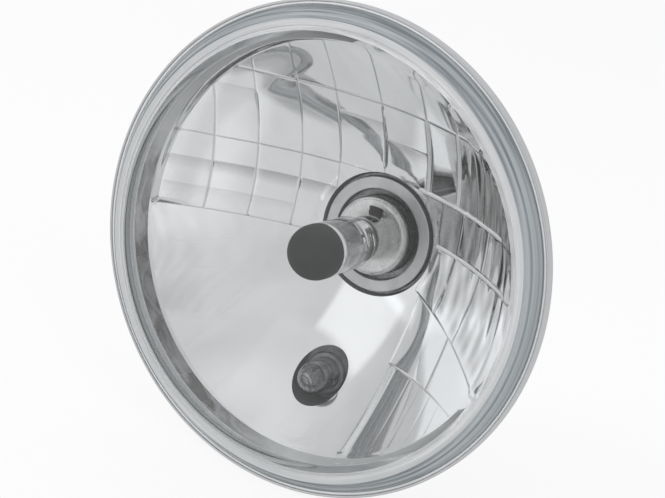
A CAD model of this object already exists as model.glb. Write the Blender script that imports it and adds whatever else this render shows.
from math import cos, hypot, pi, radians, sin, sqrt

import bmesh
import bpy
import numpy as np
from mathutils import Matrix, Vector

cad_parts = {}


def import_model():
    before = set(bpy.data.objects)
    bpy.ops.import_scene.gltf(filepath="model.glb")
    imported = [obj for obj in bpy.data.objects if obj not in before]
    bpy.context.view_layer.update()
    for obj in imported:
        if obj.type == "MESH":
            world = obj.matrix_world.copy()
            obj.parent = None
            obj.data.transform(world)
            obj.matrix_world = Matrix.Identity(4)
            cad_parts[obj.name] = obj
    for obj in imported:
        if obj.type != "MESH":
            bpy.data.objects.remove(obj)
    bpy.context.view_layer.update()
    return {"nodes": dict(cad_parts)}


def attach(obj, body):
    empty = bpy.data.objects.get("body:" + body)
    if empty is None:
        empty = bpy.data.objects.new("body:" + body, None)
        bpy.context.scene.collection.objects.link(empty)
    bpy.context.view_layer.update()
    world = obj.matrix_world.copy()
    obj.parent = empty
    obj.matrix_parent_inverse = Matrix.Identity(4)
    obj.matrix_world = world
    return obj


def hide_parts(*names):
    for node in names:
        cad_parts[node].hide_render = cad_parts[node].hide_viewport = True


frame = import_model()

MM = 0.001

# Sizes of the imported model, in millimetres: r from the lamp's axis, s forward of the rim's rear plane
# The mirror's edge at the mouth, its vertex and focal length, and the sheet's thickness
MOUTH_R, MOUTH_S = 61.9, -3.65
VERTEX_S, FOCAL = -39.8, 26.498
SHEET = 1.9
# Outside of the bowl, bead beside the lens, floor and wall of the channel, and the rim
BOWL_R = 63.4
BEAD_R, BEAD_S = 64.4, 1.2
FLANGE_S = 0.8
CHANNEL_R = 72.1
RIM_R, RIM_S, RIM_BACK_R = 72.9, 3, 64.6
# Bore for the main bulb, neck around it, and the plate on which the bulb seats
BORE_R, NECK_R = 19.3, 20.8
SEAT_R, SEAT_S, SEAT_PLATE = 30, -43.5, 1.4
# Axis of the position lamp, its hole and the collar around it
PARK = (0, -43.8)
PARK_HOLE_R, COLLAR_R, COLLAR_S = 8.2, 9.6, -33

# Borders of the mirror's facets: columns at x and rows at y
COLUMNS = [-MOUTH_R, -50, -39.5, -28, -17, -2.5, 13.5, 26, 38, MOUTH_R]
ROW_TOP, ROW_MID, ROW_LOW = 42, 18, -6
SIDE_ROW, SIDE_COLUMNS = 3.5, [13.5, 20, 29, 41, MOUTH_R]
SLANT_COLUMNS = [17, 26.5, 38, MOUTH_R]
SLANT_Y, SLANT_FALL = -12, 0.33
LOWER_ROW, LOWER_COLUMNS = -33.5, [19, 36, MOUTH_R]
FLUTE_COLUMNS = [21, 25, 29, 34, 39, 44, 50]
FLUTES = len(FLUTE_COLUMNS) - 1


def world(x, y, s):
    """Point of the drawing frame, x right, y up, s forward, in the part's own frame in metres."""
    return Vector((x, -s, y)) * MM


# Materials

def tree_of(name):
    """New material with a plain shader, and its node tree."""
    mat = bpy.data.materials.new(name)
    mat.use_nodes = True
    nt = mat.node_tree
    nt.nodes.clear()
    out = nt.nodes.new("ShaderNodeOutputMaterial")
    bsdf = nt.nodes.new("ShaderNodeBsdfPrincipled")
    nt.links.new(bsdf.outputs[0], out.inputs[0])
    return mat, nt, bsdf, out


def noise(nt, scale, stretch=(1, 1, 1), detail=4.0, rough=0.55, distortion=0.0):
    """Noise in the piece's own space."""
    coord = nt.nodes.new("ShaderNodeTexCoord")
    mapping = nt.nodes.new("ShaderNodeMapping")
    mapping.inputs["Scale"].default_value = stretch
    tex = nt.nodes.new("ShaderNodeTexNoise")
    tex.inputs["Scale"].default_value = scale
    tex.inputs["Detail"].default_value = detail
    tex.inputs["Roughness"].default_value = rough
    tex.inputs["Distortion"].default_value = distortion
    nt.links.new(coord.outputs["Object"], mapping.inputs[0])
    nt.links.new(mapping.outputs[0], tex.inputs[0])
    return tex.outputs[0]


def ring_noise(nt, scale, detail=3.0, drift=0.03):
    """Noise that runs in rings around the lamp's axis and changes slowly along them."""
    coord = nt.nodes.new("ShaderNodeTexCoord")
    split = nt.nodes.new("ShaderNodeSeparateXYZ")
    flat = nt.nodes.new("ShaderNodeCombineXYZ")
    radius = nt.nodes.new("ShaderNodeVectorMath")
    radius.operation = "LENGTH"
    slow = nt.nodes.new("ShaderNodeMath")
    slow.operation = "MULTIPLY"
    slow.inputs[1].default_value = drift
    place = nt.nodes.new("ShaderNodeCombineXYZ")
    tex = nt.nodes.new("ShaderNodeTexNoise")
    tex.inputs["Scale"].default_value = scale
    tex.inputs["Detail"].default_value = detail
    nt.links.new(coord.outputs["Object"], split.inputs[0])
    nt.links.new(split.outputs[0], flat.inputs[0])
    nt.links.new(split.outputs[2], flat.inputs[2])
    nt.links.new(flat.outputs[0], radius.inputs[0])
    nt.links.new(split.outputs[0], slow.inputs[0])
    nt.links.new(radius.outputs["Value"], place.inputs[0])
    nt.links.new(split.outputs[1], place.inputs[1])
    nt.links.new(slow.outputs[0], place.inputs[2])
    nt.links.new(place.outputs[0], tex.inputs[0])
    return tex.outputs[0]


def spread(nt, value, low, high, start=0.3, end=0.7):
    """Value from a range of the noise onto a range of its own."""
    node = nt.nodes.new("ShaderNodeMapRange")
    node.inputs["From Min"].default_value = start
    node.inputs["From Max"].default_value = end
    node.inputs["To Min"].default_value = low
    node.inputs["To Max"].default_value = high
    nt.links.new(value, node.inputs[0])
    return node.outputs[0]


def blend_colours(nt, value, a, b):
    """Mix of two colours, each given as numbers or as another node's output."""
    node = nt.nodes.new("ShaderNodeMix")
    node.data_type = "RGBA"
    nt.links.new(value, node.inputs[0])
    for socket, colour in ((node.inputs[6], a), (node.inputs[7], b)):
        if isinstance(colour, tuple):
            socket.default_value = (*colour, 1)
        else:
            nt.links.new(colour, socket)
    return node.outputs[2]


def add_bump(nt, bsdf, height, strength, depth):
    node = nt.nodes.new("ShaderNodeBump")
    node.inputs["Strength"].default_value = strength
    node.inputs["Distance"].default_value = depth
    nt.links.new(height, node.inputs["Height"])
    nt.links.new(node.outputs[0], bsdf.inputs["Normal"])


def finish(name, a, b, metallic=0.0, rough=(0.3, 0.5), scale=300, grain=2500, bump=0.1,
           stretch=(1, 1, 1), depth=0.00005, rings=False, **sockets):
    """Material whose colour, roughness and surface vary by noise at two scales."""
    mat, nt, bsdf, _ = tree_of(name)
    wide = ring_noise(nt, scale) if rings else noise(nt, scale, stretch)
    fine = noise(nt, grain, stretch, detail=3.0)
    nt.links.new(blend_colours(nt, spread(nt, wide, 0, 1), a, b), bsdf.inputs["Base Color"])
    nt.links.new(spread(nt, fine, *rough), bsdf.inputs["Roughness"])
    add_bump(nt, bsdf, fine, bump, depth)
    bsdf.inputs["Metallic"].default_value = metallic
    for key, value in sockets.items():
        bsdf.inputs[key.replace("_", " ")].default_value = value
    return mat


def glass(name, colour, rough, ripple, scale, ior=1.5, clarity=1.0, pale=None):
    """Glass with faint ripples, which lets the lamps' light through; pale gives it moulded rings."""
    mat, nt, bsdf, out = tree_of(name)
    bsdf.inputs["Base Color"].default_value = (*colour, 1)
    bsdf.inputs["Transmission Weight"].default_value = clarity
    bsdf.inputs["IOR"].default_value = ior
    wide = ring_noise(nt, scale) if pale else noise(nt, scale, detail=2.0)
    if pale:
        rings = blend_colours(nt, spread(nt, wide, 0, 1, 0.36, 0.64), colour, pale)
        nt.links.new(rings, bsdf.inputs["Base Color"])
    nt.links.new(spread(nt, wide, *rough), bsdf.inputs["Roughness"])
    add_bump(nt, bsdf, wide, ripple, 0.0001)
    path = nt.nodes.new("ShaderNodeLightPath")
    clear = nt.nodes.new("ShaderNodeBsdfTransparent")
    clear.inputs[0].default_value = (0.93, 0.95, 0.94, 1)
    mix = nt.nodes.new("ShaderNodeMixShader")
    nt.links.new(path.outputs["Is Shadow Ray"], mix.inputs[0])
    nt.links.new(bsdf.outputs[0], mix.inputs[1])
    nt.links.new(clear.outputs[0], mix.inputs[2])
    nt.links.new(mix.outputs[0], out.inputs[0])
    return mat


lens_glass = glass("lens_glass_m", (0.985, 0.99, 0.992), (0.0, 0.012), 0.02, 90)
wall_glass = glass("lens_wall_m", (0.185, 0.212, 0.232), (0.12, 0.24), 0.6, 900, clarity=0.4,
                   pale=(0.5, 0.535, 0.555))
ring_glass = glass("lens_ring_m", (0.8, 0.81, 0.83), (0.02, 0.08), 0.5, 1100, clarity=0.55, pale=(1, 1, 1))
tube_glass = glass("tube_glass_m", (0.985, 0.987, 0.985), (0.0, 0.01), 0.15, 220)
park_bulb_glass = glass("park_glass_m", (0.985, 0.987, 0.985), (0.0, 0.01), 0.1, 220, ior=1.9)


def mirror_finish():
    """Bright coat, dulled where the mesh says so."""
    mat = finish("mirror_m", (0.9, 0.905, 0.91), (0.94, 0.945, 0.95), 1.0, (0.03, 0.07), 60, 1400, 0.03,
                 depth=0.00002)
    nt = mat.node_tree
    colour = next(n for n in nt.nodes if n.type == "BSDF_PRINCIPLED").inputs["Base Color"]
    tone = nt.nodes.new("ShaderNodeAttribute")
    tone.attribute_name = "tone"
    dulled = nt.nodes.new("ShaderNodeVectorMath")
    dulled.operation = "SCALE"
    nt.links.new(colour.links[0].from_socket, dulled.inputs[0])
    nt.links.new(tone.outputs["Fac"], dulled.inputs["Scale"])
    nt.links.new(dulled.outputs[0], colour)
    return mat


mirror = mirror_finish()
rubbed_ridge = finish("ridge_m", (0.95, 0.95, 0.955), (0.985, 0.985, 0.985), 0.1, (0.42, 0.55), 200, 1400,
                      0.03)
steel = finish("rim_steel_m", (0.6, 0.61, 0.62), (0.76, 0.765, 0.77), 1.0, (0.34, 0.46), 700, 900, 0.08,
               rings=True)
flange_metal = finish("flange_m", (0.88, 0.89, 0.9), (0.98, 0.98, 0.98), 1.0, (0.4, 0.55), 800, 900, 0.08,
                      rings=True)
back_steel = finish("back_steel_m", (0.47, 0.48, 0.49), (0.54, 0.55, 0.56), 1.0, (0.32, 0.46), 45, 1500, 0.12)
sealant = finish("sealant_m", (0.62, 0.63, 0.635), (0.8, 0.8, 0.8), 0.0, (0.45, 0.6), 600, 900, 0.3,
                 rings=True)
plated = finish("plated_m", (0.56, 0.565, 0.57), (0.68, 0.68, 0.68), 1.0, (0.36, 0.48), 160, 1500, 0.03)


def mouth_finish():
    """Pressed steel of the mouth: pale at the top and right, dull and streaky at the lower left."""
    mat, nt, bsdf, _ = tree_of("mouth_m")
    streaks = noise(nt, 75, (1, 2.5, 1), distortion=1.5)
    dull = blend_colours(nt, spread(nt, streaks, 0, 1, 0.38, 0.62), (0.24, 0.24, 0.235), (0.6, 0.6, 0.605))
    coord = nt.nodes.new("ShaderNodeTexCoord")
    split = nt.nodes.new("ShaderNodeSeparateXYZ")
    nt.links.new(coord.outputs["Object"], split.inputs[0])
    # The larger of two fades in metres: upwards from the axis, and to the right
    pale = nt.nodes.new("ShaderNodeMath")
    pale.operation = "MAXIMUM"
    nt.links.new(spread(nt, split.outputs[2], 0, 1, 0.006, 0.018), pale.inputs[0])
    nt.links.new(spread(nt, split.outputs[0], 0, 1, -0.02, 0.006), pale.inputs[1])
    paleness = pale.outputs[0]
    nt.links.new(blend_colours(nt, paleness, dull, (0.82, 0.825, 0.83)), bsdf.inputs["Base Color"])
    nt.links.new(spread(nt, streaks, 0.3, 0.16), bsdf.inputs["Roughness"])
    nt.links.new(spread(nt, paleness, 1.0, 0.25, 0, 1), bsdf.inputs["Metallic"])
    return mat


mouth_metal = mouth_finish()
sleeve_metal = finish("sleeve_m", (0.58, 0.58, 0.575), (0.76, 0.76, 0.755), 1.0, (0.24, 0.38), 300, 2000,
                      0.04)
shaded_metal = finish("shaded_m", (0.1, 0.1, 0.103), (0.24, 0.24, 0.243), 1.0, (0.18, 0.3), 300, 2000, 0.05)
burnt_metal = finish("burnt_m", (0.03, 0.029, 0.028), (0.06, 0.058, 0.055), 1.0, (0.3, 0.5), 300, 2000, 0.05)
spring = finish("spring_m", (0.55, 0.56, 0.57), (0.66, 0.67, 0.68), 1.0, (0.2, 0.35), 400, 4000, 0.1)
black_coat = finish("black_coat_m", (0.012, 0.012, 0.012), (0.026, 0.025, 0.024), 0.0, (0.55, 0.7), 120, 700,
                    0.04, Specular_IOR_Level=0.15)
tungsten = finish("tungsten_m", (0.24, 0.24, 0.25), (0.34, 0.34, 0.35), 1.0, (0.3, 0.45), 900, 6000, 0.1)
molybdenum = finish("shield_m", (0.6, 0.6, 0.6), (0.78, 0.78, 0.78), 1.0, (0.25, 0.4), 600, 4000, 0.1)
lead_wire = finish("lead_m", (0.55, 0.55, 0.55), (0.66, 0.66, 0.66), 1.0, (0.25, 0.4), 700, 5000, 0.1)
plastic = finish("insulator_m", (0.032, 0.03, 0.028), (0.05, 0.047, 0.044), 0.0, (0.38, 0.52), 250, 3000,
                 0.15)
terminal = finish("terminal_m", (0.72, 0.7, 0.64), (0.8, 0.78, 0.73), 1.0, (0.2, 0.34), 300, 2600, 0.08,
                  stretch=(1, 0.15, 1))
rubber = finish("boot_rubber_m", (0.022, 0.022, 0.023), (0.04, 0.04, 0.041), 0.0, (0.5, 0.66), 130, 2400, 0.3)
grommet_rubber = finish("grommet_m", (0.07, 0.07, 0.074), (0.13, 0.13, 0.136), 0.0, (0.45, 0.6), 300, 3000,
                        0.25)
holder_plastic = finish("holder_m", (0.1, 0.104, 0.108), (0.19, 0.195, 0.2), 0.0, (0.2, 0.35), 300, 3000,
                        0.15)


# Mesh helpers

def soften(profile, size, closed=True, arc=4):
    """Profile with its corners rounded, and a point on each flat beside the rounding."""
    out = []
    n = len(profile)
    for i, p in enumerate(profile):
        p = tuple(p[:2])
        if not closed and i in (0, n - 1) or p[0] < 1e-6:
            out.append(p)
            continue
        a, b = profile[i - 1], profile[(i + 1) % n]
        la, lb = hypot(a[0] - p[0], a[1] - p[1]), hypot(b[0] - p[0], b[1] - p[1])
        ua = ((a[0] - p[0]) / la, (a[1] - p[1]) / la)
        ub = ((b[0] - p[0]) / lb, (b[1] - p[1]) / lb)
        dot = max(-1.0, min(1.0, ua[0] * ub[0] + ua[1] * ub[1]))
        if dot < -0.985:
            out.append(p)
            continue
        cut = min(size, 0.35 * la, 0.35 * lb)
        far = 1.35 * cut
        start = (p[0] + ua[0] * cut, p[1] + ua[1] * cut)
        end = (p[0] + ub[0] * cut, p[1] + ub[1] * cut)
        out.append((p[0] + ua[0] * far, p[1] + ua[1] * far))
        for k in range(arc + 1):
            t = k / arc
            out.append(tuple((1 - t) ** 2 * start[j] + 2 * t * (1 - t) * p[j] + t * t * end[j]
                             for j in (0, 1)))
        out.append((p[0] + ub[0] * far, p[1] + ub[1] * far))
    return out


def arc_points(centre_s, radius, r0, r1, steps):
    """Points of a dome around a centre on the axis, from one radius to another."""
    points = []
    for i in range(steps + 1):
        r = r0 + (r1 - r0) * i / steps
        points.append((r, centre_s + sqrt(max(radius * radius - r * r, 0))))
    return points


def add_lathe(bm, profile, segments, at=(0, 0), closed=True, mat=0, span=(0, 2 * pi)):
    """Adds the revolved profile to a mesh; mat is a material's number, or gives it for an r and s."""
    whole = span[1] - span[0] > 2 * pi - 1e-6
    count = segments if whole else segments + 1
    turns = [span[0] + (span[1] - span[0]) * k / segments for k in range(count)]
    rings = []
    for r, s in profile:
        if r < 1e-6:
            rings.append([bm.verts.new(world(at[0], at[1], s))] * count)
        else:
            around = [world(at[0] + r * cos(t), at[1] + r * sin(t), s) for t in turns]
            rings.append([bm.verts.new(place) for place in around])
    pairs = len(profile) if closed else len(profile) - 1
    for i in range(pairs):
        following = (i + 1) % len(profile)
        a, b = rings[i], rings[following]
        middle = [(p + q) / 2 for p, q in zip(profile[i], profile[following])]
        for k in range(segments):
            j = (k + 1) % count
            loop = []
            for v in (a[k], a[j], b[j], b[k]):
                if v not in loop:
                    loop.append(v)
            if len(loop) > 2:
                face = bm.faces.new(loop)
                face.material_index = mat(*middle) if callable(mat) else mat
                face.smooth = True
    if not whole:
        for k in (0, count - 1):
            loop = [ring[k] for ring in rings]
            if len(set(loop)) > 2:
                bm.faces.new(loop).material_index = 0 if callable(mat) else mat


def bridge(bm, rings, mat):
    """Adds the faces between each ring of points and the next."""
    for a, b in zip(rings, rings[1:]):
        for k in range(len(a)):
            j = (k + 1) % len(a)
            face = bm.faces.new((a[k], b[k], b[j], a[j]))
            face.smooth = True
            face.material_index = mat


def make(name, bm, materials, nodes, recalc=True):
    """Turns a mesh into a piece that rides on the part and replaces the named nodes."""
    if recalc:
        bmesh.ops.recalc_face_normals(bm, faces=bm.faces)
    mesh = bpy.data.meshes.new(name)
    bm.to_mesh(mesh)
    bm.free()
    piece = bpy.data.objects.new(name, mesh)
    bpy.context.scene.collection.objects.link(piece)
    for m in materials:
        mesh.materials.append(m)
    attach(piece, "root")
    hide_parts(*nodes)
    return piece


def lathe(name, profile, materials, nodes, segments, at=(0, 0), round_by=0.0, mat=0):
    """Makes a piece of one revolved profile."""
    bm = bmesh.new()
    add_lathe(bm, soften(profile, round_by) if round_by else profile, segments, at, mat=mat)
    return make(name, bm, materials, nodes)


def add_box(bm, lo, hi, turn=0.0, edge=0.15, at=(0, 0)):
    """Adds a bevelled block given in the drawing frame, turned about the lamp's axis or one beside it."""
    made = bmesh.ops.create_cube(bm, size=1)["verts"]
    for v in made:
        p = [lo[i] + (v.co[i] + 0.5) * (hi[i] - lo[i]) for i in range(3)]
        x = p[0] * cos(turn) - p[1] * sin(turn)
        y = p[0] * sin(turn) + p[1] * cos(turn)
        v.co = world(at[0] + x, at[1] + y, p[2])
    edges = {e for v in made for e in v.link_edges}
    bmesh.ops.bevel(bm, geom=list(edges), offset=edge * MM, segments=2, affect="EDGES", profile=0.5)


# Mirror surface

def smooth_mirror(x, y):
    """Height of the smooth bowl, a paraboloid."""
    return VERTEX_S + (x * x + y * y) / (4 * FOCAL)


def slant_y(x):
    """Slanting border under the facets at the right."""
    return SLANT_Y - SLANT_FALL * (x - SLANT_COLUMNS[0])


def quad(x0, x1, y0, y1):
    return [(x0, y0), (x1, y0), (x1, y1), (x0, y1)]


def facet_list():
    """Corners of each facet, with the flutes last."""
    flat = [quad(COLUMNS[i], COLUMNS[i + 1], ROW_MID, ROW_TOP) for i in range(9)]
    flat += [quad(COLUMNS[i], COLUMNS[i + 1], ROW_TOP, MOUTH_R) for i in range(1, 8)]
    flat += [quad(COLUMNS[i], COLUMNS[i + 1], ROW_LOW, ROW_MID) for i in range(4)]
    flat += [quad(SIDE_COLUMNS[i], SIDE_COLUMNS[i + 1], SIDE_ROW, ROW_MID) for i in range(4)]
    for i in range(3):
        a, b = SLANT_COLUMNS[i], SLANT_COLUMNS[i + 1]
        c, d = SIDE_COLUMNS[i + 1], SIDE_COLUMNS[min(i + 2, 4)]
        flat.append([(a, slant_y(a)), (b, slant_y(b)), (d, SIDE_ROW), (c, SIDE_ROW)])
    for i in range(2):
        a, b = LOWER_COLUMNS[i], LOWER_COLUMNS[i + 1]
        flat.append([(a, LOWER_ROW), (b, LOWER_ROW), (b, slant_y(b)), (a, slant_y(a))])
    flat += [quad(FLUTE_COLUMNS[i], FLUTE_COLUMNS[i + 1], -MOUTH_R, LOWER_ROW) for i in range(FLUTES)]
    return flat


FACETS = facet_list()
# Raised ridges: height, direction, place, and where they start and end
RIDGES = [
    (0.4, "y", COLUMNS[6], ROW_MID, ROW_TOP), (0.45, "y", COLUMNS[7], ROW_MID, ROW_TOP),
    (0.15, "y", COLUMNS[5], ROW_MID, ROW_TOP), (0.4, "x", ROW_MID, 10, 48),
    (0.35, "x", SIDE_ROW, 20, 55), (0.35, "y", FLUTE_COLUMNS[0], -60, LOWER_ROW),
]
# Pressed lips, sharp above and soft below: left and right end, height y, depth
LIPS = [
    (-61, -50, 10, 0.12), (-50, -39.5, 10, 0.2), (-39.5, -28, 10, 0.2), (-28, -17, 10, 0.2),
    (-61, -28, 1.2, 0.06), (-17, -2.5, 36, 0.12), (-2.5, 13.5, 31, 0.16), (-50, -39.5, 36, 0.05),
]
# Depth of a facet's hollow, how much it varies between facets, and the crease around each
HOLLOW, HOLLOW_STEP, CREASE = 0.16, 0.05, 0.1
FLUTE_HOLLOW, FLUTE_CREASE = 0.02, 0.01
# Fine ripples at the right, and how much deeper the left of the sheet is pressed at the mouth
RIPPLE, RIPPLE_PITCH = 0.05, 4.4
MOUTH_DEPTH = 1.5


def smoothstep(t):
    t = np.clip(t, 0, 1)
    return t * t * (3 - 2 * t)


def in_facets(x, y):
    """Share of a point in the faceted part of the bowl, whose sheet is pressed deeper at the mouth."""
    left = smoothstep((y - ROW_LOW) / 0.8) * (x < 0)
    right = smoothstep((y - slant_y(np.maximum(x, SLANT_COLUMNS[0]))) / 0.8) * (x >= 0)
    return left + right


def facet_sides(q, x, y):
    """For each side of a facet, the distances inside it of the points and of the farthest corner."""
    for (ax, ay), (bx, by) in zip(q, q[1:] + q[:1]):
        length = hypot(bx - ax, by - ay)
        side = ((bx - ax) * (y - ay) - (by - ay) * (x - ax)) / length
        reach = max(((bx - ax) * (py - ay) - (by - ay) * (px - ax)) / length for px, py in q)
        yield side, reach


def facet_drop(number, q, x, y):
    """Distance of the points inside a facet, and how deep its hollow and crease are pressed there."""
    inside = np.full_like(x, 1e9)
    hollow = np.ones_like(x)
    for side, reach in facet_sides(q, x, y):
        inside = np.minimum(inside, side)
        hollow = hollow * np.clip(side / reach, 0, 1) * 2
    flute = number >= len(FACETS) - FLUTES
    depth = FLUTE_HOLLOW if flute else HOLLOW + HOLLOW_STEP * (number * 7 % 5 - 2)
    crease = FLUTE_CREASE if flute else CREASE
    return inside, crease * smoothstep(inside / 0.4) + depth * hollow


def mirror_height(x, y):
    """Height of the pressed mirror: shallow hollow facets that meet at thin creases."""
    base = smooth_mirror(x, y)
    drop = np.zeros_like(base)
    r = np.hypot(x, y)
    land = smoothstep((MOUTH_R - 0.3 - r) / 0.8) * smoothstep((r - BORE_R - 2) / 0.6)
    for number, q in enumerate(FACETS):
        inside, pressed = facet_drop(number, q, x, y)
        drop = np.where(inside > 0, pressed, drop)
    for left, right, top, deep in LIPS:
        below = top - y
        lip = smoothstep(below) * np.clip(1 - (below - 1) / 6, 0, 1)
        drop = drop + deep * lip * smoothstep((x - left) / 1.2) * smoothstep((right - x) / 1.2)
    # Fine upright ripples at the right
    side = smoothstep((x - 27) / 3) * smoothstep((y + 13) / 3) * smoothstep((41 - y) / 3)
    drop = drop + RIPPLE * side * np.sin(2 * pi * (x + 0.08 * y) / RIPPLE_PITCH)
    for ridge, along, centre, low, high in RIDGES:
        across, reach = (x, y) if along == "y" else (y, x)
        away = np.abs(across - centre)
        ends = smoothstep((reach - low) / 1.5) * smoothstep((high - reach) / 1.5)
        drop = drop - ridge * (1 - smoothstep(away / 0.9)) * ends
    # Facets at the left are pressed deeper towards the mouth
    left = smoothstep((-x - 10) / 25)
    near_mouth = smoothstep((MOUTH_R - r) / 1.1) * smoothstep((r - 52) / 9)
    mouth = in_facets(x, y) * MOUTH_DEPTH * left * near_mouth
    return base - drop * land - mouth


def mirror_tone(x, y):
    """Brightness of the metal coat, duller in the creases and under the lips."""
    tone = np.ones_like(x)
    for number, q in enumerate(FACETS):
        inside = np.min([side for side, _ in facet_sides(q, x, y)], axis=0)
        dull = 0.1 if number >= len(FACETS) - FLUTES else 0.3
        tone = np.where(inside > -0.01, 1 - dull * (1 - smoothstep((inside - 0.1) / 0.25)), tone)
    for left, right, top, deep in LIPS:
        below = top - y
        shade = smoothstep(below / 0.5) * np.clip(1 - (below - 0.5) / 4, 0, 1)
        tone = tone - 2.2 * deep * shade * smoothstep((x - left) / 0.8) * smoothstep((right - x) / 0.8)
    # Smoky streaks over the facets at the right
    smoke = smoothstep((x - 25 + 0.5 * np.maximum(ROW_MID - y, 0)) / 5) * smoothstep((y - slant_y(x)) / 4)
    smoke = smoke * smoothstep((ROW_TOP - 0.5 - y) / 2) * smoothstep((x - 18) / 3)
    streaks = np.sin(2 * pi * x / 3.9 + 1.6 * np.sin(y / 6)) + np.sin(2 * pi * x / 6.7 - 1.1 * np.sin(y / 4))
    return tone - smoke * (0.22 + 0.12 * streaks)


def grid_lines(borders, step, fine):
    """Even grid lines with extra ones close to the borders."""
    lines = set(np.round(np.arange(-MOUTH_R - step, MOUTH_R + 1.5 * step, step), 3))
    for b in borders:
        lines = {v for v in lines if abs(v - b) > 1.1}
        lines |= {round(b + d, 3) for d in fine}
    return np.array(sorted(lines))


def mirror_grid(step, fine):
    """Grid of the sheet whose lines follow the facets' borders, also the slanting one."""
    columns = sorted(set(COLUMNS[1:-1] + SIDE_COLUMNS[:-1] + SLANT_COLUMNS[:-1] + LOWER_COLUMNS[:-1]
                         + FLUTE_COLUMNS))
    xs = grid_lines(columns, step, fine)
    lips = sorted({lip[2] for lip in LIPS})
    slant_row = -16.0
    ys = grid_lines([ROW_TOP, ROW_MID, ROW_LOW, SIDE_ROW, slant_row, LOWER_ROW] + lips, step, fine)
    gx, gy = np.meshgrid(xs, ys)
    # Lines between these two heights are pulled towards the slant
    top, foot = SIDE_ROW - 1.5, LOWER_ROW + 1.5
    pull = np.where(gy > slant_row, (top - gy) / (top - slant_row), (gy - foot) / (slant_row - foot))
    shift = slant_y(np.maximum(gx, SLANT_COLUMNS[0])) - slant_row
    side = smoothstep((gx - 5) / 10)
    return gx, gy + shift * side * np.clip(pull, 0, 1)


def pressed_sheet(bm, step, fine, height, outer_r, bore_r, park_r, mat, flip):
    """Adds the faceted sheet, trimmed to a circle and to two holes."""
    gx, gy = mirror_grid(step, fine)
    r = np.hypot(gx, gy)
    park = np.hypot(gx - PARK[0], gy - PARK[1])
    keep = (r < outer_r) & (r > bore_r) & (park > park_r)
    x, y = gx.copy(), gy.copy()
    for mask, (cx, cy), radius, away in ((r >= outer_r, (0, 0), outer_r, r), (r <= bore_r, (0, 0), bore_r, r),
                                         (park <= park_r, PARK, park_r, park)):
        dist = np.maximum(away, 1e-6)
        x = np.where(mask, cx + (gx - cx) * radius / dist, x)
        y = np.where(mask, cy + (gy - cy) * radius / dist, y)
    s = height(x, y)
    verts = {}

    def vert(i, j):
        if (i, j) not in verts:
            verts[i, j] = bm.verts.new(world(float(x[i, j]), float(y[i, j]), float(s[i, j])))
        return verts[i, j]

    rows, cols = x.shape
    for i in range(rows - 1):
        for j in range(cols - 1):
            if not keep[i:i + 2, j:j + 2].any():
                continue
            loop = [vert(i, j), vert(i, j + 1), vert(i + 1, j + 1), vert(i + 1, j)]
            face = bm.faces.new(loop[::-1] if flip else loop)
            face.smooth = True
            middle = (float(x[i:i + 2, j:j + 2].mean()), float(y[i:i + 2, j:j + 2].mean()))
            face.material_index = mat(*middle) if callable(mat) else mat


def ridge_zone(x, y):
    """The raised ridges are rubbed pale, and the rest of the sheet is a clean mirror."""
    for ridge, along, centre, low, high in RIDGES:
        across, reach = (x, y) if along == "y" else (y, x)
        if ridge > 0.3 and abs(across - centre) < 0.72 and low < reach < high:
            return RIDGE
    return MIRROR


def polar_strip(bm, r0, r1, rings, segments, mat):
    """Adds the sheet's outer edge as even rings, where it turns up into the mouth."""
    t = np.linspace(0, 2 * pi, segments, endpoint=False)
    made = []
    for k in range(rings + 1):
        r = r0 + (r1 - r0) * k / rings
        x, y = r * np.cos(t), r * np.sin(t)
        s = mirror_height(x, y)
        made.append([bm.verts.new(world(float(a), float(b), float(c))) for a, b, c in zip(x, y, s)])
    bridge(bm, made, mat)


# Reflector

MIRROR, BACK, STEEL, MOUTH, RIDGE, FLANGE = range(6)
# Step of the sheet's grid, and the places of its extra lines beside each border
MIRROR_STEP, MIRROR_FINE = 0.9, (-0.9, -0.6, -0.35, -0.15, 0, 0.15, 0.35, 0.6, 0.9)
BACK_STEP, BACK_FINE = 1.5, (-0.8, 0, 0.8)
# Where the grid gives way to even rings, and how much the relief grows at the back
STRIP_R = 60.4
BACK_RELIEF = 2.2


def back_height(x, y):
    """Back of the sheet, on which the pressing's relief stands out more."""
    base = smooth_mirror(x, y)
    relief = np.clip(mirror_height(x, y) - base, -0.4, 0.4)
    return base + BACK_RELIEF * relief - SHEET


def back_s(r):
    """Height of the bowl's back at a radius."""
    return smooth_mirror(r, 0) - SHEET


def mouth_zone(r, s):
    """Sloping mouth, then the pale bead beside the lens."""
    return MOUTH if r < 63.2 else FLANGE


def rim_zone(r, s):
    """Pale floor of the channel, and plain steel around and behind it."""
    return FLANGE if r < 72 and s > 0.6 else STEEL


def add_park_collar(bm, steps=96, bevel=0.3):
    """Adds the collar of the position lamp, whose ends follow the bowl."""
    rings = []
    for r, behind, s_fixed in ((PARK_HOLE_R, 0, None), (PARK_HOLE_R, 0, COLLAR_S + bevel),
                               (PARK_HOLE_R + bevel, 0, COLLAR_S), (COLLAR_R - bevel, 0, COLLAR_S),
                               (COLLAR_R, 0, COLLAR_S + bevel), (COLLAR_R, SHEET, None)):
        ring = []
        for k in range(steps):
            t = 2 * pi * k / steps
            x, y = PARK[0] + r * cos(t), PARK[1] + r * sin(t)
            s = smooth_mirror(x, y) - behind if s_fixed is None else s_fixed
            ring.append(bm.verts.new(world(x, y, s)))
        rings.append(ring)
    bridge(bm, rings, BACK)


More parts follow.
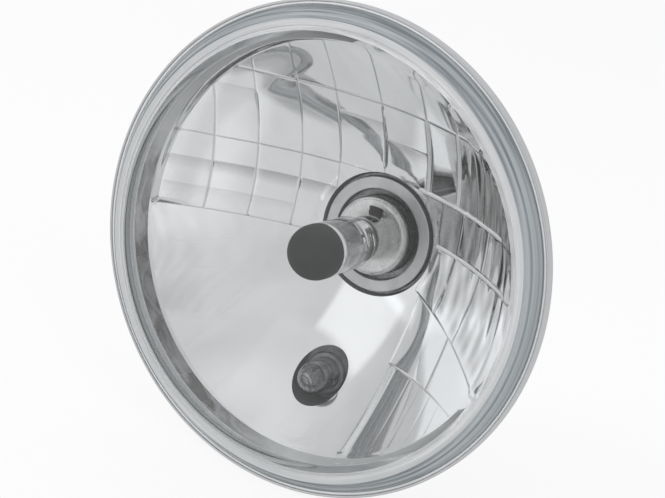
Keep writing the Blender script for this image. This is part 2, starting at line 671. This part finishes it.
def make_reflector():
    bm = bmesh.new()
    pressed_sheet(bm, MIRROR_STEP, MIRROR_FINE, mirror_height, STRIP_R, BORE_R, PARK_HOLE_R, ridge_zone,
                  False)
    polar_strip(bm, STRIP_R, MOUTH_R, 9, 420, MIRROR)
    pressed_sheet(bm, BACK_STEP, BACK_FINE, back_height, BOWL_R, NECK_R, COLLAR_R, BACK, True)
    mouth = [(MOUTH_R, MOUTH_S), (BOWL_R, BEAD_S), (BEAD_R - 0.25, BEAD_S), (BEAD_R, FLANGE_S)]
    add_lathe(bm, soften(mouth, 0.35, closed=False), 256, closed=False, mat=mouth_zone)
    rim = [(BEAD_R, FLANGE_S), (CHANNEL_R, FLANGE_S), (CHANNEL_R, RIM_S), (RIM_R, RIM_S), (RIM_R, 0),
           (RIM_BACK_R, 0), (BOWL_R, back_s(BOWL_R))]
    add_lathe(bm, soften(rim, 0.35, closed=False), 256, closed=False, mat=rim_zone)
    # Bore of the neck, seat face and plate behind it
    plate_s = SEAT_S + SEAT_PLATE
    neck = [(BORE_R, smooth_mirror(BORE_R, 0)), (BORE_R, SEAT_S), (SEAT_R, SEAT_S), (SEAT_R, plate_s),
            (NECK_R, plate_s), (NECK_R, back_s(NECK_R))]
    add_lathe(bm, soften(neck, 0.3, closed=False), 160, closed=False, mat=STEEL)
    add_park_collar(bm)
    finishes = [mirror, back_steel, steel, mouth_metal, rubbed_ridge, flange_metal]
    return make("reflector_pressing", bm, finishes, ["reflector"], recalc=False)


def set_tone(piece):
    """Writes the coat's brightness into the mesh, where the mirror's material reads it."""
    places = np.empty(len(piece.data.vertices) * 3, np.float32)
    piece.data.vertices.foreach_get("co", places)
    places = places.reshape(-1, 3).astype(float) / MM
    tone = mirror_tone(places[:, 0], places[:, 2]).astype(np.float32)
    piece.data.attributes.new("tone", "FLOAT", "POINT").data.foreach_set("value", tone)


set_tone(make_reflector())

# Lens and sealant

# Centre of the dome's spheres, their radii, where they end, the foot, and the flat ring
DOME_C, DOME_R, DOME_INNER_R = -158.49, 178.59, 175.39
DOME_EDGE_R, DOME_INNER_EDGE_R = 64.1, 62.1
FOOT_IN_R, FOOT_R, FOOT_S = 66.3, 71.3, 1.3
RING_S = 7.7
CLEAR, WALL, RING = range(3)


def lens_zone(r, s):
    """Moulded wall and foot, flat ring, or clear dome."""
    if r > 67.5 and s > 1.4:
        return WALL
    return RING if r > 64.3 and s > 7 else CLEAR


dome = arc_points(DOME_C, DOME_R, DOME_EDGE_R, 0, 48)
hollow = arc_points(DOME_C, DOME_INNER_R, 0, DOME_INNER_EDGE_R, 48)
lens_edge = soften([
    (FOOT_IN_R, FOOT_S), (FOOT_R, FOOT_S), (FOOT_R, RIM_S), (68.55, 6.75), (68.2, 7.3), (67.7, RING_S),
    (65.6, RING_S), (65.35, RING_S - 0.25), (65.1, RING_S - 0.25), (64.6, 7.87), (DOME_EDGE_R, 8.2),
], 0.3, closed=False)
lathe("lens_dome", lens_edge + dome[1:] + hollow, [lens_glass, wall_glass, ring_glass], ["lens"],
      256, mat=lens_zone)
lathe("sealant_bed", [
    (65.4, FLANGE_S), (CHANNEL_R, FLANGE_S), (CHANNEL_R, 2.6), (71.7, 2.75), (FOOT_R + 0.02, 2.6),
    (FOOT_R + 0.02, FOOT_S), (FOOT_IN_R, FOOT_S), (65.7, 1.36), (65.4, 1.2),
], [sealant], ["lens_sealant"], 256)

# Main bulb

# Pilot ring with its step and the well around the can, its metal's thickness, and the lugs
PILOT_R, PILOT_IN_R, PILOT_BACK_S = 19, 18.2, -44.7
STEP_R, STEP_IN_R, STEP_S = 17.9, 17.1, -36
WELL_R, WELL_OUT_R = 14.2, 15
METAL = 0.8
LUG_R, LUG_HALF, LUG_TURNS = 21.45, 3.5, (90, 210, 330)
# Metal can with the opening in its face, and the collar that grips the glass
CAN_R, CAN_IN_R, CAN_BACK_S, CAN_ROUND = 12.08, 11.6, -51, 1.5
CAN_FACE_S, CAN_OPENING_HALF = -31.5, 2.4
GRIP_R, GRIP_IN_R, GRIP_S, WINDOW_HALF = 6.7, 6.1, -25, 2.6
# Glass tube, the centre of its round tip, and the black coat on the tip
TUBE_R, TUBE_NECK_R, TUBE_WALL = 8.0, 6.0, 0.9
TUBE_FOOT_S, TUBE_FLOOR_S = -38, -35
TIP_C = 1.3
CAP_R, CAP_IN_R = 8.2, 8.02
BRIGHT, SHADED, BURNT = range(3)


def pilot_zone(r, s):
    """The well around the can and the ring's outer wall lie in shade."""
    return SHADED if r < WELL_R + 0.1 or (r > STEP_R and s < STEP_S - 0.4) else BRIGHT


def make_pilot_ring():
    bm = bmesh.new()
    add_lathe(bm, soften([
        (PILOT_R, PILOT_BACK_S), (PILOT_R, -38.5), (STEP_R, -38.4), (STEP_R, STEP_S), (WELL_R, STEP_S),
        (WELL_R, -38.6), (12.12, -38.6), (12.12, -38.6 - METAL), (WELL_OUT_R, -38.6 - METAL),
        (WELL_OUT_R, STEP_S - METAL), (STEP_IN_R, STEP_S - METAL), (STEP_IN_R, -39.2), (PILOT_IN_R, -39.2),
        (PILOT_IN_R, PILOT_BACK_S),
    ], 0.35), 192, mat=pilot_zone)
    for turn in LUG_TURNS:
        add_box(bm, (18.4, -LUG_HALF, PILOT_BACK_S), (LUG_R, LUG_HALF, SEAT_S), radians(turn), 0.2)
    make("pilot_ring", bm, [plated, shaded_metal], ["bulb_flange"])


def can_zone(r, s):
    """The can's side lies in the shade of the ring."""
    return SHADED if r > 12 and s < -34 else BRIGHT


def grip_zone(r, s):
    """The inside of the can's collar is blackened by heat."""
    return BURNT if r < GRIP_IN_R + 0.1 else BRIGHT


def darken_opening(bm):
    """Gives the can's face its dark opening above the collar."""
    for f in bm.faces:
        place = f.calc_center_median() / MM
        in_face = place.y < 33 and GRIP_R < hypot(place.x, place.z) < 9.6
        if in_face and place.z > 4 and abs(place.x) < CAN_OPENING_HALF:
            f.material_index = BURNT


def make_can():
    bm = bmesh.new()
    shoulder = []
    for k in range(7):
        t = k * pi / 12
        shoulder.append((CAN_R - CAN_ROUND * (1 - cos(t)), -33 + CAN_ROUND * sin(t)))
    face = [(9.6, CAN_FACE_S - 0.02), (8.2, CAN_FACE_S - 0.02), (GRIP_R, CAN_FACE_S - 0.1),
            (GRIP_IN_R, CAN_FACE_S - 0.3), (GRIP_IN_R, -33.1)]
    outside = [(CAN_R, CAN_BACK_S), (CAN_R, -34.2)] + shoulder
    inside = [(CAN_IN_R, -33.1), (CAN_IN_R, CAN_BACK_S)]
    add_lathe(bm, outside + face + inside, 160, mat=can_zone)
    darken_opening(bm)
    # Collar around the glass neck, open at its top by a window
    half = WINDOW_HALF / GRIP_R
    full = (0, 2 * pi)
    windowed = (pi / 2 + half, 5 * pi / 2 - half)
    for s0, s1, span in ((-32.35, -30.5, full), (-30.5, -26, windowed), (-26, GRIP_S, full)):
        ring = [(GRIP_IN_R, s0), (GRIP_R, s0), (GRIP_R, s1), (GRIP_IN_R, s1)]
        add_lathe(bm, soften(ring, 0.08), 96, span=span, mat=grip_zone)
    make("bulb_can", bm, [sleeve_metal, shaded_metal, burnt_metal], ["bulb_sleeve"])


def tube_profile(inset, foot_s):
    """Glass surface from its foot over the neck and the swelling to the round tip."""
    r, neck = TUBE_R - inset, TUBE_NECK_R - inset
    points = [(0, foot_s), (neck, foot_s)]
    for share, s in ((0, -26.2), (0.15, -24.4), (0.5, -22.5), (0.85, -20.6), (1, -18.8), (1, -8), (1, TIP_C)):
        points.append((neck + share * (r - neck), s))
    for k in range(1, 12):
        t = k * pi / 24
        points.append((r * cos(t), TIP_C + r * sin(t)))
    return points + [(0, TIP_C + r)]


def make_tube():
    bm = bmesh.new()
    add_lathe(bm, tube_profile(0, TUBE_FOOT_S), 128, closed=False)
    add_lathe(bm, tube_profile(TUBE_WALL, TUBE_FLOOR_S), 128, closed=False)
    make("bulb_tube", bm, [tube_glass], ["bulb_glass"])


def make_tip_coat():
    turns = [k * pi / 36 for k in range(18)]
    outside = [(CAP_R * cos(t), TIP_C + CAP_R * sin(t)) for t in turns]
    inside = [(CAP_IN_R * cos(t), TIP_C + CAP_IN_R * sin(t)) for t in turns[::-1]]
    coat = [(CAP_IN_R, -1), (CAP_R, -0.85)] + outside + [(0, TIP_C + CAP_R), (0, TIP_C + CAP_IN_R)] + inside
    lathe("tip_coat", coat, [black_coat], ["bulb_black_cap"], 128)


make_pilot_ring()
make_can()
make_tube()
make_tip_coat()

# Position lamp

GROMMET_R, GROMMET_IN_R = 10.95, 6.4
HOLDER_R, HOLDER_BACK_S, HOLDER_RIBS = 8, -42, 10
SOCKET_R, SOCKET_OUT_R, SOCKET_S = 5, 6.3, -24.1
SMALL_BULB_R, SMALL_BULB_WALL, SMALL_BULB_C = 4.9, 0.7, -17

lathe("park_grommet", [
    (GROMMET_IN_R, -35), (GROMMET_R, -35), (GROMMET_R, COLLAR_S), (PARK_HOLE_R, COLLAR_S),
    (PARK_HOLE_R, -25.1), (GROMMET_IN_R, -25.1),
], [grommet_rubber], ["position_grommet"], 96, PARK, 0.5)


def make_holder():
    bm = bmesh.new()
    add_lathe(bm, soften([
        (0, HOLDER_BACK_S), (HOLDER_R, HOLDER_BACK_S), (HOLDER_R, -35), (SOCKET_OUT_R, -35),
        (SOCKET_OUT_R, SOCKET_S), (SOCKET_R, SOCKET_S), (SOCKET_R, -31.9), (0, -31.9),
    ], 0.35), 96, PARK)
    for k in range(HOLDER_RIBS):
        turn = 2 * pi * k / HOLDER_RIBS
        add_box(bm, (HOLDER_R - 0.5, -0.9, -41.2), (HOLDER_R - 0.01, 0.9, -36), turn, 0.12, at=PARK)
    make("park_holder", bm, [holder_plastic], ["position_holder"])


def make_small_bulb():
    """Hollow glass of the position lamp: its outside with the wedge foot, and its inside."""
    bm = bmesh.new()
    outside = [(0, -38.9), (4.4, -38.9), (4.5, -32.4), (4.9, -31.9)]
    inside = [(0, -30.5), (3.6, -30.5)]
    for inset, foot in ((0, outside), (SMALL_BULB_WALL, inside)):
        r = SMALL_BULB_R - inset
        turns = [k * pi / 24 for k in range(12)]
        dome_arc = [(r * cos(t), SMALL_BULB_C + r * sin(t)) for t in turns] + [(0, SMALL_BULB_C + r)]
        add_lathe(bm, foot + [(r, -29.5)] + dome_arc, 80, PARK, closed=False)
    make("park_glass", bm, [park_bulb_glass], ["position_bulb_glass"])


make_holder()
make_small_bulb()

# Rubber boot

BOOT_R, GROOVE_R = 31.95, 31.4
GRIP_RIBS = 24


def make_boot():
    bm = bmesh.new()
    add_lathe(bm, soften([
        # Outer wall with its two grooves
        (27.6, -40.3), (GROOVE_R, -40.3), (BOOT_R, -40.9), (BOOT_R, -43.2), (GROOVE_R, -43.5),
        (GROOVE_R, -44.4), (BOOT_R, -44.7), (BOOT_R, -45.8), (GROOVE_R, -46.1), (GROOVE_R, -47),
        (BOOT_R, -47.3), (BOOT_R, -49.7),
        # Back with its soft fold and the hub
        (30.8, -51.7), (22.8, -51.7), (21, -50.4), (19.2, -51.7), (15, -52.7), (15, -58.5), (14.5, -59),
        (0, -59),
        # Inside of the hub, the fold and the wall
        (0, -57), (13, -57), (13, -50.9), (19.2, -49.7), (21, -48.7), (22.8, -49.7), (29, -49.7), (29, -43.5),
        (30, -43.5), (30, -42.1), (27.6, -42.1),
    ], 0.7), 160)
    # Raised lip around each blade's slot
    for x, y, half_x, half_y in ((0, 8, 5.3, 1.8), (8.6, -2, 1.8, 5.3), (-8.6, -2, 1.8, 5.3)):
        add_box(bm, (x - half_x, y - half_y, -59.9), (x + half_x, y + half_y, -58.7), edge=0.45)
    for k in range(GRIP_RIBS):
        add_box(bm, (25.2, -0.35, -52.05), (29.2, 0.35, -51.4), 2 * pi * k / GRIP_RIBS, 0.15)
    make("boot", bm, [rubber], ["rubber_boot"])


make_boot()

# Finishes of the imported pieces

for mat, nodes in (
    (plated, ("bulb_seat_ring", "seat_rivets")),
    (spring, ("retaining_clip",)),
    (tungsten, ("low_beam_filament", "high_beam_filament", "position_bulb_filament")),
    (molybdenum, ("low_beam_shield",)),
    (lead_wire, ("lead_low", "lead_high", "lead_common", "position_bulb_leads")),
    (plastic, ("bulb_insulator",)),
    (terminal, ("terminal_low", "terminal_high", "terminal_ground", "position_contacts")),
):
    for node in nodes:
        data = frame["nodes"][node].data
        data.materials.clear()
        data.materials.append(mat)

# Camera

# Where the camera stands, in degrees around the lamp and above it, its roll, and its distance in metres
CAMERA_TURN, CAMERA_RISE, CAMERA_ROLL, CAMERA_AWAY = 26.629, 16.579, 13.530, 0.523774
# Focal length and frame width in the photograph's pixels
FOCAL_PX, PHOTO_PX = 1802.33, 665
SENSOR_MM = 36
# Where the photograph is cut out of the lens's picture, as a share of its width
SHIFT_X, SHIFT_Y = 0.0196, 0.0031


def make_camera():
    turn, rise, roll = radians(CAMERA_TURN), radians(CAMERA_RISE), radians(CAMERA_ROLL)
    level_right = Vector((cos(turn), sin(turn), 0))
    look = Vector((-sin(turn) * cos(rise), cos(turn) * cos(rise), -sin(rise)))
    right = level_right * cos(roll) + level_right.cross(look) * sin(roll)
    up = right.cross(look)
    camera = bpy.data.objects.new("camera", bpy.data.cameras.new("camera"))
    bpy.context.scene.collection.objects.link(camera)
    place = -look * CAMERA_AWAY
    axes = Matrix((right, up, -look)).transposed().to_4x4()
    camera.matrix_world = Matrix.Translation(place) @ axes
    camera.data.lens = FOCAL_PX / PHOTO_PX * SENSOR_MM
    camera.data.sensor_width = SENSOR_MM
    camera.data.sensor_fit = "HORIZONTAL"
    camera.data.shift_x = SHIFT_X
    camera.data.shift_y = SHIFT_Y
    camera.data.clip_start = 0.01
    bpy.context.scene.camera = camera


make_camera()

# Studio

# Floor under the rim: height and size in metres, cells, and how far it fades to white
FLOOR_Z = -0.0732
FLOOR_SIZE, FLOOR_CELLS = 3.0, 24
FLOOR_GLOW = 0.85
STUDIO_TINT = (0.985, 0.99, 1, 1)
ROOM_LEVEL, HAZE_GAIN, HAZE_SCALE = 0.555, 0.14, 1.6
# Soft lights and darker parts of the room: azimuth from straight ahead to the right, elevation,
# both from and to in degrees, softness of the borders, and gain over the room's level
ROOM = (
    (-52, -13, 12, 38, 5, 0.36), (-58, -13, -7, 12, 5, 0.22), (-90, 10, 44, 62, 6, 0.05),
    (-200, 200, 62, 95, 14, 0.16), (62, 125, -100, -6, 22, 0.2), (12, 62, -60, -12, 14, 0.03),
    (-48, -6, -34, -9, 5, 0.24), (-200, 200, -100, -70, 6, -0.26), (125, 200, -100, 60, 15, 0.1),
    (-200, -95, -60, 60, 15, 0.1), (-152, -112, -34, 2, 10, 0.5),
)


def lamp(name, place, size, energy):
    """Soft round lamp aimed at the origin, hidden from reflections and from the glass."""
    data = bpy.data.lights.new(name, "AREA")
    data.shape = "DISK"
    data.size = size
    data.energy = energy
    obj = bpy.data.objects.new(name, data)
    bpy.context.scene.collection.objects.link(obj)
    obj.location = place
    obj.rotation_mode = "QUATERNION"
    obj.rotation_quaternion = Vector(place).to_track_quat("Z", "Y")
    obj.visible_glossy = False
    obj.visible_transmission = False


def floor_finish():
    """Pale matt floor that fades to white for the camera, and keeps some of its shadow."""
    mat, nt, bsdf, out = tree_of("floor_m")
    bsdf.inputs["Base Color"].default_value = (0.9, 0.9, 0.9, 1)
    bsdf.inputs["Roughness"].default_value = 0.9
    glow = nt.nodes.new("ShaderNodeEmission")
    glow.inputs[1].default_value = 1.0
    path = nt.nodes.new("ShaderNodeLightPath")
    share = math_node(nt, "MULTIPLY", path.outputs["Is Camera Ray"], FLOOR_GLOW)
    mix = nt.nodes.new("ShaderNodeMixShader")
    nt.links.new(share, mix.inputs[0])
    nt.links.new(bsdf.outputs[0], mix.inputs[1])
    nt.links.new(glow.outputs[0], mix.inputs[2])
    nt.links.new(mix.outputs[0], out.inputs[0])
    return mat


def make_floor():
    bm = bmesh.new()
    row = FLOOR_CELLS + 1
    for i in range(row):
        for j in range(row):
            x, y = FLOOR_SIZE * (i / FLOOR_CELLS - 0.5), FLOOR_SIZE * (j / FLOOR_CELLS - 0.5)
            bm.verts.new((x, y, FLOOR_Z))
    bm.verts.ensure_lookup_table()
    for i in range(FLOOR_CELLS):
        for j in range(FLOOR_CELLS):
            k = i * row + j
            bm.faces.new([bm.verts[n] for n in (k, k + row, k + row + 1, k + 1)])
    mesh = bpy.data.meshes.new("floor")
    bm.to_mesh(mesh)
    bm.free()
    mesh.materials.append(floor_finish())
    floor = bpy.data.objects.new("floor", mesh)
    bpy.context.scene.collection.objects.link(floor)
    floor.visible_glossy = False
    floor.visible_transmission = False


def math_node(nt, kind, *values):
    node = nt.nodes.new("ShaderNodeMath")
    node.operation = kind
    for socket, value in zip(node.inputs, values):
        if isinstance(value, (int, float)):
            socket.default_value = value
        else:
            nt.links.new(value, socket)
    return node.outputs[0]


def ramp_between(nt, value, start, end):
    """Soft step from 0 to 1 between two angles in degrees."""
    node = nt.nodes.new("ShaderNodeMapRange")
    node.interpolation_type = "SMOOTHSTEP"
    node.inputs["From Min"].default_value = radians(start)
    node.inputs["From Max"].default_value = radians(end)
    nt.links.new(value, node.inputs[0])
    return node.outputs[0]


def room_level(nt):
    """Brightness of the room by direction: its level, a faint haze and the parts listed in ROOM."""
    coord = nt.nodes.new("ShaderNodeTexCoord")
    split = nt.nodes.new("ShaderNodeSeparateXYZ")
    nt.links.new(coord.outputs["Generated"], split.inputs[0])
    azimuth = math_node(nt, "ARCTAN2", split.outputs["X"], math_node(nt, "MULTIPLY", split.outputs["Y"], -1))
    elevation = math_node(nt, "ARCSINE", split.outputs["Z"])
    haze = nt.nodes.new("ShaderNodeTexNoise")
    haze.inputs["Scale"].default_value = HAZE_SCALE
    haze.inputs["Detail"].default_value = 2.0
    nt.links.new(coord.outputs["Generated"], haze.inputs[0])
    level = math_node(nt, "ADD", math_node(nt, "MULTIPLY", haze.outputs[0], HAZE_GAIN), ROOM_LEVEL)
    for left_at, right_at, low_at, high_at, soft, gain in ROOM:
        share = math_node(nt, "MULTIPLY", ramp_between(nt, azimuth, left_at - soft, left_at),
                          ramp_between(nt, azimuth, right_at + soft, right_at))
        share = math_node(nt, "MULTIPLY", share, ramp_between(nt, elevation, low_at - soft, low_at))
        share = math_node(nt, "MULTIPLY", share, ramp_between(nt, elevation, high_at + soft, high_at))
        level = math_node(nt, "ADD", math_node(nt, "MULTIPLY", share, gain), level)
    return level


def make_world():
    """White behind the object, and a soft studio for everything that mirrors it."""
    studio_world = bpy.data.worlds.new("studio")
    bpy.context.scene.world = studio_world
    studio_world.use_nodes = True
    nt = studio_world.node_tree
    nt.nodes.clear()
    out = nt.nodes.new("ShaderNodeOutputWorld")
    plain = nt.nodes.new("ShaderNodeBackground")
    plain.inputs[0].default_value = (1, 1, 1, 1)
    plain.inputs[1].default_value = 1.0
    studio = nt.nodes.new("ShaderNodeBackground")
    studio.inputs[0].default_value = STUDIO_TINT
    nt.links.new(room_level(nt), studio.inputs[1])
    path = nt.nodes.new("ShaderNodeLightPath")
    mix = nt.nodes.new("ShaderNodeMixShader")
    nt.links.new(path.outputs["Is Camera Ray"], mix.inputs[0])
    nt.links.new(studio.outputs[0], mix.inputs[1])
    nt.links.new(plain.outputs[0], mix.inputs[2])
    nt.links.new(mix.outputs[0], out.inputs[0])


lamp("key", (-0.7, -0.9, 0.9), 0.7, 7)
lamp("fill", (1.0, -0.6, 0.5), 0.8, 3.5)
make_floor()
make_world()
bpy.context.scene.view_settings.view_transform = "Standard"
